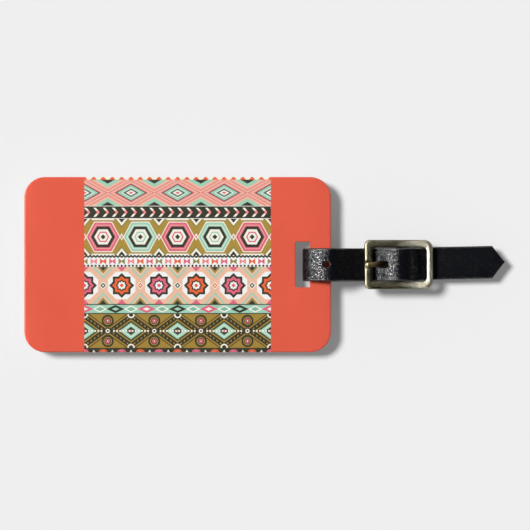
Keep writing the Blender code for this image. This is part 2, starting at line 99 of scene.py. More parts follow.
# --------------------------------------------------------------------------- node helpers
class Nodes:
    """Small helper that writes shader node trees as arithmetic."""

    def __init__(self, name):
        self.mat = bpy.data.materials.new(name)
        self.mat.use_nodes = True
        self.nt = self.mat.node_tree
        self.shader = self.nt.nodes["Principled BSDF"]
        self.count = 0

    def new(self, kind):
        n = self.nt.nodes.new(kind)
        n.location = ((self.count % 40) * 180 - 7600, -(self.count // 40) * 220)
        self.count += 1
        return n

    def put(self, socket, value):
        if isinstance(value, bpy.types.NodeSocket):
            self.nt.links.new(value, socket)
        elif value is not None:
            if isinstance(value, (tuple, list)) and len(value) == 3 and socket.type == "RGBA":
                value = (*value, 1.0)
            socket.default_value = value

    def m(self, op, a, b=None, c=None, clamp=False):
        n = self.new("ShaderNodeMath")
        n.operation = op
        n.use_clamp = clamp
        self.put(n.inputs[0], a)
        if b is not None:
            self.put(n.inputs[1], b)
        if c is not None:
            self.put(n.inputs[2], c)
        return n.outputs[0]

    def mix(self, fac, a, b, blend="MIX"):
        n = self.new("ShaderNodeMix")
        n.data_type = "RGBA"
        n.blend_type = blend
        self.put(n.inputs[0], fac)
        self.put(n.inputs[6], a)
        self.put(n.inputs[7], b)
        return n.outputs[2]

    def ramp(self, value, low, high, to_low=0.0, to_high=1.0, smooth=True):
        n = self.new("ShaderNodeMapRange")
        n.interpolation_type = "SMOOTHSTEP" if smooth else "LINEAR"
        for s, v in zip(n.inputs[:5], (value, low, high, to_low, to_high)):
            self.put(s, v)
        return n.outputs[0]

    def coords(self, kind="Object"):
        return self.new("ShaderNodeTexCoord").outputs[kind]

    def scaled(self, vector, scale, add=(0, 0, 0)):
        n = self.new("ShaderNodeMapping")
        self.put(n.inputs["Vector"], vector)
        n.inputs["Scale"].default_value = scale if isinstance(scale, tuple) else (scale,) * 3
        n.inputs["Location"].default_value = add
        return n.outputs[0]

    def noise(self, vector, scale, detail=3.0, rough=0.55, distort=0.0):
        n = self.new("ShaderNodeTexNoise")
        self.put(n.inputs["Vector"], vector)
        n.inputs["Scale"].default_value = scale
        n.inputs["Detail"].default_value = detail
        n.inputs["Roughness"].default_value = rough
        n.inputs["Distortion"].default_value = distort
        return n.outputs[0]

    def cells(self, vector, scale, feature="F1", smooth=0.0, out="Distance"):
        n = self.new("ShaderNodeTexVoronoi")
        n.feature = feature
        self.put(n.inputs["Vector"], vector)
        n.inputs["Scale"].default_value = scale
        if feature == "SMOOTH_F1":
            n.inputs["Smoothness"].default_value = smooth
        return n.outputs[out]

    def bump(self, height, distance_m, strength=1.0, normal=None):
        n = self.new("ShaderNodeBump")
        n.inputs["Strength"].default_value = strength
        n.inputs["Distance"].default_value = distance_m
        self.put(n.inputs["Height"], height)
        if normal is not None:
            self.put(n.inputs["Normal"], normal)
        return n.outputs[0]

    def set(self, **values):
        names = {
            "color": "Base Color", "rough": "Roughness", "metal": "Metallic", "coat": "Coat Weight",
            "coat_rough": "Coat Roughness", "normal": "Normal", "spec": "Specular IOR Level", "ior": "IOR",
            "coat_normal": "Coat Normal", "sheen": "Sheen Weight", "sss": "Subsurface Weight",
        }
        for k, v in values.items():
            self.put(self.shader.inputs[names[k]], v)
        return self.mat


def lin(r, g, b):
    """sRGB 0-255 to linear."""
    out = []
    for c in (r, g, b):
        c /= 255.0
        out.append(c / 12.92 if c <= 0.04045 else ((c + 0.055) / 1.055) ** 2.4)
    return tuple(out)


# Inks. The light on the flat plate is a little under the floor's, so inks are stored a little lighter.
INK_GAIN = 1.04


def ink(r, g, b):
    return tuple(min(0.95, c * INK_GAIN) for c in lin(r, g, b))


CORAL = ink(227, 94, 72)
GOLD = ink(172, 141, 62)
GOLD_DEEP = ink(160, 131, 58)
OLIVE = ink(150, 134, 70)
BLACK = ink(41, 41, 30)
CREAM = ink(244, 240, 228)
WHITE = ink(250, 249, 243)
PEACH = ink(238, 190, 162)
MINT = ink(160, 208, 184)
MINT_DEEP = ink(126, 184, 160)
PINK = ink(224, 104, 128)
ROSE = ink(236, 140, 140)
ORANGE = ink(232, 102, 58)


# --------------------------------------------------------------------------- printed pattern
def band_pattern(N, X, Y, ground):
    """A generic banded pattern of diamonds, hexagons, stars and chevrons over the plate's middle.
    X and Y are millimetres on the plate's face. Returns a colour socket."""
    m = N.m
    col = ground
    row = None

    def over(mask, colour):
        nonlocal col
        if row is not None:
            mask = m("MULTIPLY", mask, row)
        col = N.mix(mask, col, colour)

    def away(p, at=0.0):
        """Distance in X from the nearest motif centre of a row with this pitch."""
        return m("PINGPONG", m("SUBTRACT", X, at) if at else X, p / 2)

    def parity(p, at, every):
        """1 where the motif's number divides by every."""
        k = m("FLOOR", m("DIVIDE", m("SUBTRACT", X, at - p / 2), p))
        return m("LESS_THAN", m("ABSOLUTE", m("FLOORED_MODULO", k, every)), 0.5)

    def both(a, b):
        return m("MULTIPLY", a, b)

    def less(a, b):
        return m("LESS_THAN", a, b)

    def vdist(yc):
        return m("ABSOLUTE", m("SUBTRACT", Y, yc))

    def diamond(u, v, a, b, du=0.0, dv=0.0):
        if du:
            u = m("ABSOLUTE", m("SUBTRACT", u, du))
        if dv:
            v = m("ABSOLUTE", m("SUBTRACT", v, dv))
        return less(m("MULTIPLY_ADD", u, 1 / a, m("MULTIPLY", v, 1 / b)), 1.0)

    def rect(u, v, a, b, du=0.0, dv=0.0):
        if du:
            u = m("ABSOLUTE", m("SUBTRACT", u, du))
        if dv:
            v = m("ABSOLUTE", m("SUBTRACT", v, dv))
        return less(m("MAXIMUM", m("MULTIPLY", u, 1 / a), m("MULTIPLY", v, 1 / b)), 1.0)

    def disc(u, v, r, du=0.0, dv=0.0, flat=1.0):
        if du:
            u = m("SUBTRACT", u, du)
        if dv:
            v = m("SUBTRACT", v, dv)
        if flat != 1.0:
            v = m("MULTIPLY", v, flat)
        return less(m("MULTIPLY_ADD", u, u, m("MULTIPLY", v, v)), r * r)

    def hexagon(u, v, w, h, top):
        """Half width w at the middle, half height h, half width top along the flat top."""
        side = m("MULTIPLY_ADD", u, 1 / w, m("MULTIPLY", v, (1 - top / w) / h))
        return less(m("MAXIMUM", side, m("MULTIPLY", v, 1 / h)), 1.0)

    def band(lo, hi):
        return both(m("GREATER_THAN", Y, lo), less(Y, hi))

    def row_fill(lo, hi, colour):
        """Everything after this is kept inside the band."""
        nonlocal col, row
        row = band(lo, hi)
        col = N.mix(row, col, colour)

    # ---- saw-tooth edge
    row_fill(24.6, 26, CREAM)
    over(less(m("MULTIPLY_ADD", away(2.7), 1.2, m("SUBTRACT", Y, 24.85)), 0.85), ORANGE)

    # ---- nested diamonds between chevron outlines, on peach
    row_fill(17.04, 24.6, PEACH)
    yc = 20.82
    u, v = away(13.5), vdist(yc)
    near = m("MULTIPLY_ADD", u, 1 / 6.75, m("MULTIPLY", v, 1 / 3.78))
    over(both(less(near, 1.0), m("GREATER_THAN", near, 0.93)), PINK)
    over(both(less(near, 0.88), m("GREATER_THAN", near, 0.84)), ROSE)
    over(m("GREATER_THAN", near, 1.12), ROSE)
    over(m("GREATER_THAN", near, 1.26), PEACH)
    over(m("GREATER_THAN", near, 1.42), MINT)
    over(m("GREATER_THAN", near, 1.7), BLACK)
    for size, tint in ((0.74, PINK), (0.66, BLACK), (0.6, MINT), (0.42, CREAM), (0.37, MINT_DEEP), (0.3, BLACK), (0.22, CREAM), (0.1, PINK)):
        over(less(near, size), tint)

    # ---- chevrons on black
    row_fill(13.29, 17.04, BLACK)
    v = vdist(15.165)
    over(m("GREATER_THAN", v, 1.72), CREAM)
    x = m("WRAP", m("ADD", X, m("MULTIPLY", v, 0.85)), 2.7, 0.0)
    arm = m("ABSOLUTE", m("SUBTRACT", x, 1.35))
    over(both(less(arm, 0.38), less(v, 1.3)), CREAM)
    over(both(less(arm, 0.38), less(v, 0.5)), ROSE)

    # ---- nested hexagons on gold
    row_fill(2.78, 13.29, GOLD)
    v = vdist(8.03)
    u, k = away(10.8), away(10.8, 5.4)
    over(m("GREATER_THAN", v, 4.86), CREAM)
    over(less(m("MULTIPLY_ADD", k, 1.0, m("MULTIPLY", m("SUBTRACT", 4.86, v), 0.85)), 2.0), OLIVE)
    over(less(m("MULTIPLY_ADD", k, 1.0, m("MULTIPLY", m("SUBTRACT", 4.86, v), 0.85)), 1.35), CREAM)
    over(less(m("MULTIPLY_ADD", k, 1.0, m("MULTIPLY", m("SUBTRACT", 4.86, v), 0.85)), 0.6), BLACK)
    over(diamond(k, v, 0.62, 1.1), CREAM)
    over(diamond(k, v, 0.3, 0.55), PINK)
    tint = N.mix(parity(10.8, 0.0, 2), MINT, PINK)
    light = N.mix(parity(10.8, 0.0, 2), CREAM, PEACH)
    for w, h, top, colour in (
        (5.0, 4.42, 2.6, CREAM), (4.72, 4.15, 2.45, tint), (4.0, 3.5, 2.05, light), (3.8, 3.32, 1.95, tint),
        (3.45, 3.0, 1.78, BLACK), (2.55, 2.2, 1.3, CREAM), (1.75, 1.5, 0.9, tint), (1.35, 1.15, 0.7, CREAM),
    ):
        over(hexagon(u, v, w, h, top), colour)
    over(diamond(u, v, 0.75, 0.75), BLACK)

    # ---- dotted lines round a row of small hourglasses
    row_fill(2.18, 2.78, BLACK)
    over(both(m("GREATER_THAN", Y, 2.52), less(m("PINGPONG", X, 0.54), 0.22)), CREAM)
    row_fill(-0.66, 2.2, WHITE)
    p = 2.7
    u, v = away(p), vdist(0.95)
    tie = both(both(less(u, 0.92), less(v, 0.86)), less(v, m("MULTIPLY_ADD", u, 0.85, 0.14)))
    n4 = m("FLOORED_MODULO", m("FLOOR", m("DIVIDE", m("ADD", X, p / 2), p)), 4.0)
    tint = N.mix(less(n4, 0.5), PINK, ORANGE)
    tint = N.mix(less(m("ABSOLUTE", m("SUBTRACT", n4, 2.0)), 0.5), tint, OLIVE)
    tint = N.mix(less(m("ABSOLUTE", m("SUBTRACT", n4, 3.0)), 0.5), tint, ROSE)
    over(tie, tint)
    over(both(m("GREATER_THAN", Y, 1.98), less(m("PINGPONG", X, 0.54), 0.32)), BLACK)
    over(less(m("MULTIPLY_ADD", m("PINGPONG", X, 0.54), 1.0, vdist(-0.36)), 0.42), BLACK)

    # ---- eight-pointed stars in white octagons, on peach
    row_fill(-11.42, -0.66, PEACH)
    v = vdist(-6.04)
    u, k = away(10.8, 5.4), away(10.8)
    up = m("SUBTRACT", 5.38, v)  # from the row's edges inwards
    over(less(m("MULTIPLY_ADD", k, 1.0, m("MULTIPLY", up, 0.9)), 3.1), MINT)
    over(less(m("MULTIPLY_ADD", k, 1.0, m("MULTIPLY", up, 0.9)), 2.45), PEACH)
    over(less(m("MULTIPLY_ADD", k, 1.0, m("MULTIPLY", up, 0.9)), 1.7), OLIVE)
    over(less(m("MULTIPLY_ADD", k, 1.0, m("MULTIPLY", up, 0.9)), 1.0), BLACK)
    over(less(m("MULTIPLY_ADD", u, 1.0, up), 1.35), PINK)
    over(diamond(k, v, 1.15, 1.15), CREAM)
    over(diamond(k, v, 0.8, 0.8), N.mix(parity(10.8, 0.0, 2), ORANGE, BLACK))
    over(diamond(k, v, 0.36, 0.36), CREAM)
    wide = m("MAXIMUM", u, v)
    slant = m("MULTIPLY", m("ADD", u, v), 0.7071)
    over(less(m("MAXIMUM", wide, slant), 4.0), WHITE)
    tint = N.mix(parity(10.8, 5.4, 2), PINK, ORANGE)
    for size, colour in ((3.35, BLACK), (2.55, tint), (1.62, BLACK), (1.15, WHITE)):
        # a square and the same square turned by 45 degrees
        over(less(m("MINIMUM", wide, slant), size * 0.7654 + 0.0), colour)
    over(diamond(u, v, 0.62, 0.62), tint)

    # ---- a ribbon of diamonds on mint
    row_fill(-14.32, -11.42, BLACK)
    row_fill(-14.05, -11.68, MINT)
    v = vdist(-12.865)
    u = away(9.0, 4.5)
    over(diamond(u, v, 2.1, 1.05), CREAM)
    over(diamond(u, v, 1.3, 0.65), MINT_DEEP)
    for at, colour, inner in ((0.0, BLACK, MINT), (9.0, PINK, CREAM)):
        u = away(18.0, at)
        over(diamond(u, v, 2.6, 1.18), colour)
        over(diamond(u, v, 1.1, 0.5), inner)

    # ---- broad nested diamonds and rings of discs on gold
    row_fill(-24.14, -14.32, GOLD_DEEP)
    v = vdist(-19.23)
    u, k = away(13.5), away(13.5, 6.75)
    near = m("MULTIPLY_ADD", u, 1 / 6.75, m("MULTIPLY", v, 1 / 4.9))
    over(both(less(near, 1.04), m("GREATER_THAN", near, 0.7)), BLACK)
    over(both(m("GREATER_THAN", near, 1.14), less(near, 1.2)), BLACK)
    over(both(less(m("PINGPONG", u, 0.5), 0.2), both(less(near, 0.92), m("GREATER_THAN", near, 0.84))), GOLD)
    for size, colour in ((0.6, BLACK), (0.5, MINT), (0.38, CREAM), (0.34, MINT), (0.24, BLACK), (0.09, PINK)):
        over(less(near, size), colour)
    for r, colour in ((1.75, BLACK), (1.2, GOLD), (0.95, BLACK), (0.7, PINK), (0.42, BLACK), (0.22, CREAM)):
        over(disc(k, v, r, 0, 2.95), colour)
    for r, colour in ((0.95, BLACK), (0.62, CREAM), (0.3, BLACK)):
        over(disc(k, v, r), colour)
    over(both(less(v, 0.26), both(m("GREATER_THAN", k, 1.35), less(m("PINGPONG", k, 0.45), 0.24))), CREAM)
    for r, colour in ((1.05, CREAM), (0.62, BLACK)):
        over(disc(u, v, r, 0, 4.75), colour)

    # ---- half discs and triangles on black
    row_fill(-26, -24.14, BLACK)
    u = away(5.4)
    up = m("SUBTRACT", Y, -25.4)
    disc_r = m("MULTIPLY_ADD", u, u, m("MULTIPLY", up, m("MULTIPLY", up, 2.2)))
    over(less(disc_r, 1.7), N.mix(parity(5.4, 0.0, 2), PINK, ORANGE))
    over(less(disc_r, 0.3), ROSE)
    over(less(m("MULTIPLY_ADD", away(5.4, 2.7), 1.5, up), 0.75), CREAM)
    return col


# --------------------------------------------------------------------------- materials
def print_material(name, patterned):
    N = Nodes(name)
    obj = N.coords()
    sep = N.new("ShaderNodeSeparateXYZ")
    N.put(sep.inputs[0], obj)
    X = N.m("MULTIPLY", sep.outputs[0], 1000.0)
    Y = N.m("MULTIPLY", sep.outputs[1], 1000.0)
    # coral ground: a little cloudy, with a fine print grain
    cloud = N.noise(obj, 55.0, 3.0)
    ground = N.mix(N.ramp(cloud, 0.3, 0.7, 0.0, 1.0), CORAL, tuple(c * 0.955 for c in CORAL))
    col = ground
    if patterned:
        inside = N.m("LESS_THAN", N.m("ABSOLUTE", X), 27.05)
        # ink edges wander by a few hundredths of a millimetre
        jitter = N.noise(obj, 2600.0, 2.0)
        jx = N.m("MULTIPLY_ADD", N.m("SUBTRACT", jitter, 0.5), 0.09, X)
        jy = N.m("MULTIPLY_ADD", N.m("SUBTRACT", N.noise(N.scaled(obj, 1.0, (0.3, 0.1, 0)), 2600.0, 2.0), 0.5), 0.09, Y)
        art = band_pattern(N, jx, jy, PEACH)
        col = N.mix(inside, ground, art)
    grain = N.ramp(N.noise(obj, 9000.0, 2.0, 0.6), 0.25, 0.75, 0.965, 1.03)
    tone = N.new("ShaderNodeCombineColor")
    for i in range(3):
        N.put(tone.inputs[i], grain)
    col = N.mix(1.0, col, tone.outputs[0], "MULTIPLY")
    # what it throws onto the paper is greyed, so that the shadows stay neutral
    ray = N.new("ShaderNodeLightPath")
    col = N.mix(N.m("MULTIPLY", ray.outputs["Is Diffuse Ray"], 0.85), col, (0.3, 0.3, 0.3))
    # orange peel of the satin top coat, and a few faint rubs in its sheen
    peel = N.noise(obj, 420.0, 2.0, 0.5)
    rub = N.noise(N.scaled(obj, (90.0, 300.0, 90.0)), 1.0, 4.0, 0.6)
    rough = N.m("ADD", N.ramp(rub, 0.45, 0.8, 0.4, 0.46), N.m("MULTIPLY", cloud, 0.06))
    bump = N.bump(peel, 0.00002, 0.22)
    return N.set(color=col, rough=rough, coat=0.12, coat_rough=0.3, normal=bump, coat_normal=bump, spec=0.3)


def acrylic_material():
    N = Nodes("acrylic_white")
    obj = N.coords()
    saw = N.noise(N.scaled(obj, (500.0, 500.0, 5200.0)), 1.0, 3.0)
    warm = N.noise(obj, 140.0, 2.0)
    col = N.mix(N.ramp(warm, 0.3, 0.7), (0.86, 0.85, 0.81), (0.8, 0.785, 0.745))
    col = N.mix(N.ramp(saw, 0.55, 0.8, 0.0, 0.35), col, (0.7, 0.62, 0.58))
    return N.set(color=col, rough=N.ramp(saw, 0.3, 0.8, 0.22, 0.5), normal=N.bump(saw, 0.00002, 0.35), sss=0.0)


def leather_material(name, matt=0.0):
    """Black pebbled leather. Its grain runs in the strap's own length and width, which the UV layer holds in millimetres."""
    N = Nodes(name)
    uv = N.new("ShaderNodeUVMap")
    uv.uv_map = "StrapMM"
    p = uv.outputs[0]
    big = N.noise(p, 0.22, 3.0)
    warp = N.new("ShaderNodeVectorMath")
    warp.operation = "MULTIPLY_ADD"
    n = N.new("ShaderNodeTexNoise")
    N.put(n.inputs["Vector"], p)
    n.inputs["Scale"].default_value = 1.1
    N.put(warp.inputs[0], n.outputs[1])
    warp.inputs[1].default_value = (0.35, 0.35, 0.35)
    N.put(warp.inputs[2], p)
    q = warp.outputs[0]
    pebble = N.ramp(N.cells(q, 2.05, "DISTANCE_TO_EDGE"), 0.0, 0.34)
    fine = N.ramp(N.cells(q, 4.6, "DISTANCE_TO_EDGE"), 0.0, 0.2)
    odd = N.new("ShaderNodeSeparateColor")
    N.put(odd.inputs[0], N.cells(q, 2.7, "F1", out="Color"))
    hair = N.noise(p, 9.0, 3.0, 0.65)
    height = N.m("ADD", N.m("MULTIPLY", pebble, 0.6), N.m("ADD", N.m("MULTIPLY", fine, 0.22), N.m("MULTIPLY", hair, 0.16)))
    # pits stay dull and black, the tops are rubbed a little
    top = N.m("MULTIPLY", pebble, fine)
    col = N.mix(N.ramp(big, 0.35, 0.7), (0.0044, 0.0050, 0.0066), (0.0058, 0.0062, 0.0078))
    col = N.mix(N.m("MULTIPLY", top, 0.5), col, (0.0062, 0.0062, 0.0068))
    lint = N.ramp(N.noise(p, 34.0, 2.0, 0.5), 0.75, 0.82, 0.0, 0.2)
    col = N.mix(lint, col, (0.03, 0.029, 0.028))
    rough = N.m("ADD", N.ramp(top, 0.0, 1.0, 0.3 + matt, 0.13 + matt), N.ramp(big, 0.3, 0.75, 0.02, -0.01))
    shine = N.m("MULTIPLY", N.ramp(top, 0.08, 0.62, 0.03, 0.95), N.ramp(odd.outputs[0], 0.2, 0.8, 0.45, 1.45))
    normal = N.bump(height, 0.000034, 1.0)
    return N.set(color=col, rough=rough, normal=normal, spec=shine, coat=0.0)


def edge_paint_material():
    N = Nodes("leather_edge_paint")
    uv = N.new("ShaderNodeUVMap")
    uv.uv_map = "StrapMM"
    p = uv.outputs[0]
    lay = N.noise(N.scaled(p, (1.2, 9.0, 1.0)), 1.0, 3.0)
    fuzz = N.noise(p, 12.0, 3.0, 0.6)
    col = N.mix(N.ramp(lay, 0.35, 0.75), (0.006, 0.006, 0.0065), (0.016, 0.0145, 0.013))
    return N.set(color=col, rough=N.ramp(fuzz, 0.3, 0.7, 0.34, 0.5), normal=N.bump(N.m("ADD", lay, N.m("MULTIPLY", fuzz, 0.5)), 0.00006, 0.6), spec=0.55)


def brass_material(name, bright=0.0, wear=0.5, scale=1.0, rub_and_highlight_x=None, painted_shade_x=None):
    """Cast brass under a dark patina, rubbed through along its edges. With an x range for rubbing, the upward faces
    past it are lightened, partly rubbed wear and partly a painted highlight, and the side-facing faces are darkened
    with painted shade; with an x range for shade, the colour past it fades to near black as painted shade.
    """
    N = Nodes(name)
    obj = N.coords()
    geo = N.new("ShaderNodeNewGeometry")
    cloud = N.noise(obj, 240.0 * scale, 3.0, 0.5)
    spots = N.noise(obj, 2300.0 * scale, 3.0, 0.6)
    wear_and_highlight = N.ramp(geo.outputs["Pointiness"], 0.515, 0.58, 0.0, 0.8)
    wear_and_highlight = N.m("MULTIPLY", wear_and_highlight, N.ramp(cloud, 0.3, 0.62, 0.4, 1.0))
    wear_and_highlight = N.m("MULTIPLY", wear_and_highlight, wear)
    if rub_and_highlight_x is not None:
        sep = N.new("ShaderNodeSeparateXYZ")
        N.put(sep.inputs[0], obj)
        # past the given x the upward faces are lightened towards bare brass: partly rubbed wear, partly a painted
        # highlight
        ragged = N.m("MULTIPLY_ADD", N.m("SUBTRACT", cloud, 0.5), 0.008, sep.outputs[0])
        face = N.ramp(ragged, (rub_and_highlight_x[0]) * MM, (rub_and_highlight_x[1]) * MM, 0.0, 0.62)
        up = N.new("ShaderNodeSeparateXYZ")
        N.put(up.inputs[0], N.coords("Normal"))
        face = N.m("MULTIPLY", face, N.ramp(up.outputs[2], 0.25, 0.85, 0.0, 1.0))
        # painted shade: the more a surface faces sideways, the darker its colour
        painted_side_shade = N.ramp(up.outputs[2], 0.1, 0.8, 0.95, 0.0)
        wear_and_highlight = N.m("MAXIMUM", wear_and_highlight, N.m("MULTIPLY", face, N.ramp(spots, 0.25, 0.75, 0.84, 1.0)))
    mottle = N.noise(obj, 900.0 * scale, 3.0, 0.6)
    dark = N.mix(N.ramp(cloud, 0.3, 0.7), (0.075, 0.071, 0.043), (0.115, 0.108, 0.068))
    dark = N.mix(N.ramp(mottle, 0.3, 0.8, 0.0, 0.5), dark, (0.19, 0.175, 0.115))
    dark = N.mix(N.ramp(spots, 0.45, 0.85, 0.0, 0.25), dark, (0.05, 0.046, 0.03))
    dark = N.mix(bright, dark, (0.46, 0.32, 0.12))
    if rub_and_highlight_x is not None:
        # painted shade on the side-facing surfaces
        dark = N.mix(painted_side_shade, dark, (0.03, 0.022, 0.012))
    col = N.mix(wear_and_highlight, dark, (0.92, 0.86, 0.68))
    # painted shade: past the given x the colour fades to near black, where the prong dips into the leather
    if painted_shade_x is not None:
        along = N.new("ShaderNodeSeparateXYZ")
        N.put(along.inputs[0], obj)
        col = N.mix(N.ramp(along.outputs[0], painted_shade_x[0] * MM, painted_shade_x[1] * MM, 0.0, 0.9), col, (0.04, 0.028, 0.012))
    rough = N.m("ADD", N.ramp(mottle, 0.3, 0.7, 0.33, 0.41), N.m("MULTIPLY", wear_and_highlight, 0.16))
    # to rays from the paper the brass looks rough and near black, so it throws no spots of reflected light onto the
    # paper
    paper = N.new("ShaderNodeLightPath").outputs["Is Diffuse Ray"]
    rough = N.m("MAXIMUM", rough, N.m("MULTIPLY", paper, 0.8))
    col = N.mix(N.m("MULTIPLY", paper, 0.75), col, (0.03, 0.03, 0.03))
    grain = N.m("ADD", N.m("MULTIPLY", spots, 0.6), N.m("MULTIPLY", cloud, 0.8))
    return N.set(color=col, rough=rough, metal=1.0, normal=N.bump(grain, 0.000016, 0.5), coat=0.05, coat_rough=0.3)


def dark_steel_material(name):
    N = Nodes(name)
    obj = N.coords()
    turned = N.noise(N.scaled(obj, (900.0, 900.0, 4000.0)), 1.0, 3.0)
    cloud = N.noise(obj, 600.0, 3.0)
    col = N.mix(N.ramp(cloud, 0.3, 0.7), (0.13, 0.12, 0.105), (0.24, 0.225, 0.2))
    return N.set(color=col, rough=N.ramp(turned, 0.3, 0.7, 0.28, 0.46), metal=1.0, normal=N.bump(turned, 0.00003, 0.3))


FLOOR_GLOW = 0.12


def floor_material():
    """White paper that glows faintly by itself, painted light with no lamp in it, so that shadows stay open and
    neutral.
    """
    N = Nodes("floor_paper")
    obj = N.coords()
    g = N.noise(obj, 900.0, 2.0)
    col = N.mix(N.ramp(g, 0.3, 0.7), (0.8, 0.8, 0.8), (0.806, 0.806, 0.806))
    # painted light: the paper emits a little light of its own
    N.shader.inputs["Emission Color"].default_value = (1, 1, 1, 1)
    N.shader.inputs["Emission Strength"].default_value = FLOOR_GLOW
    return N.set(color=col, rough=0.9, spec=0.0)


# --------------------------------------------------------------------------- mesh helpers
def add_mesh(name, bm, mats, smooth=None):
    """bm is in millimetres."""
    for v in bm.verts:
        v.co *= MM
    mesh = bpy.data.meshes.new(name)
    bm.to_mesh(mesh)
    bm.free()
    for mat in mats:
        mesh.materials.append(mat)
    mesh.shade_smooth()
    if smooth is not None:
        mesh.set_sharp_from_angle(angle=math.radians(smooth))
    ob = bpy.data.objects.new(name, mesh)
    bpy.context.scene.collection.objects.link(ob)
    return ob


def rounded_rect(x0, x1, y0, y1, r, steps=14, along=()):
    """Counter-clockwise points of a rounded rectangle, the same count for any size and radius."""
    r = r if isinstance(r, tuple) else (r,) * 4
    out = []
    for (cx, cy, sx, sy, start), rr in zip(
        ((x1, y1, -1, -1, 0), (x0, y1, 1, -1, 90), (x0, y0, 1, 1, 180), (x1, y0, -1, 1, 270)), r
    ):
        for i in range(steps + 1):
            a = math.radians(start + 90 * i / steps)
            out.append((cx + sx * rr + rr * math.cos(a), cy + sy * rr + rr * math.sin(a)))
    return out


def subdivide_ring(points, counts):
    """Adds evenly spaced points on the long straight runs between corners."""
    out = []
    for i, p in enumerate(points):
        q = points[(i + 1) % len(points)]
        out.append(p)
        n = counts(p, q)
        for k in range(1, n):
            out.append((p[0] + (q[0] - p[0]) * k / n, p[1] + (q[1] - p[1]) * k / n))
    return out


# --------------------------------------------------------------------------- the plate
PLATE_R = 6.0
SLOT = (34.15, 38.4, -6.6, 6.6)


def plate_slab(name, low, high, mats, round_low=None, round_high=None, slot_low=0.0, slot_high=0.0):
    """A layer of the plate with its slot. round_* is (in, down): how far the outer edge draws in and over what height."""
    bm = bmesh.new()
    hx, hy = CORE_HI[0], PLATE_W_HALF

    def outer(inset):
        r = max(PLATE_R - inset, 0.5)
        return rounded_rect(-hx + inset, hx - inset, -hy + inset, hy - inset, r, 16)

    def inner(grow):
        x0, x1, y0, y1 = SLOT
        return rounded_rect(x0 - grow, x1 + grow, y0 - grow, y1 + grow, 0.22 + grow, 3)

    def profile(round_, z_edge, z_flat):
        """From the side wall to the flat face: quarter ellipse."""
        if not round_:
            return [(0.0, z_flat)]
        inn, down = round_
        sign = 1 if z_flat > z_edge else -1
        steps = 8
        return [
            (inn * (1 - math.cos(math.pi / 2 * i / steps)), z_flat - sign * down * (1 - math.sin(math.pi / 2 * i / steps)))
            for i in range(steps + 1)
        ]

    lower = list(reversed(profile(round_low, high, low)))
    upper = profile(round_high, low, high)
    levels = lower + upper
    rings = [[bm.verts.new((x, y, z)) for x, y in outer(i)] for i, z in levels]
    s_lower = [(slot_low, low), (0.0, low + slot_low)] if slot_low else [(0.0, low)]
    s_upper = [(0.0, high - slot_high), (slot_high, high)] if slot_high else [(0.0, high)]
    s_rings = [[bm.verts.new((x, y, z)) for x, y in inner(g)] for g, z in s_lower + s_upper]
    for group in (rings, s_rings):
        for a, b in zip(group, group[1:]):
            n = len(a)
            for i in range(n):
                j = (i + 1) % n
                bm.faces.new((a[i], a[j], b[j], b[i]))
    for ring, hole in ((rings[0], s_rings[0]), (rings[-1], s_rings[-1])):
        edges = []
        for loop in (ring, hole):
            for i in range(len(loop)):
                edges.append(bm.edges.get((loop[i], loop[(i + 1) % len(loop)])))
        bmesh.ops.triangle_fill(bm, edges=edges, use_beauty=True, use_dissolve=False)
    bmesh.ops.recalc_face_normals(bm, faces=bm.faces)
    return add_mesh(name, bm, mats, 32)


PLATE_W_HALF = 25.4
Z_TOP, Z_BOT = FRONT_HI[2], BACK_LO[2]
EDGE_IN, EDGE_DOWN = 0.5, 0.42
SHEET_WRAP = 0.8

coral_front = print_material("print_coral_banded", True)
coral_back = print_material("print_coral_plain", False)
acrylic = acrylic_material()

front = plate_slab("front_print", Z_TOP - SHEET_WRAP, Z_TOP, [coral_front], None, (EDGE_IN, EDGE_DOWN), 0.0, 0.14)
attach(front, "tag"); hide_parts("front_print_sheet")
back = plate_slab("back_print", Z_BOT, Z_BOT + SHEET_WRAP, [coral_back], (EDGE_IN, EDGE_DOWN), None, 0.14, 0.0)
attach(back, "tag"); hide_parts("back_print_sheet")
core = plate_slab("core_slab", Z_BOT + SHEET_WRAP + 0.012, Z_TOP - SHEET_WRAP - 0.012, [acrylic])
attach(core, "tag"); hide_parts("tag_core")


# --------------------------------------------------------------------------- the strap
STRAP_T, SKIVED_T, STRAP_HALF_W = 1.46, 0.88, 4.74
LOOP_R, WRAP_R = 4.48, 2.0
TIP_X = 94.9
HOLE_X, HOLE_R = 43.1, 0.92


def arc(cx, cz, r, start, end, steps):
    return [
        (cx + r * math.cos(math.radians(start + (end - start) * i / steps)),
         cz + r * math.sin(math.radians(start + (end - start) * i / steps)))
        for i in range(steps + 1)
    ]


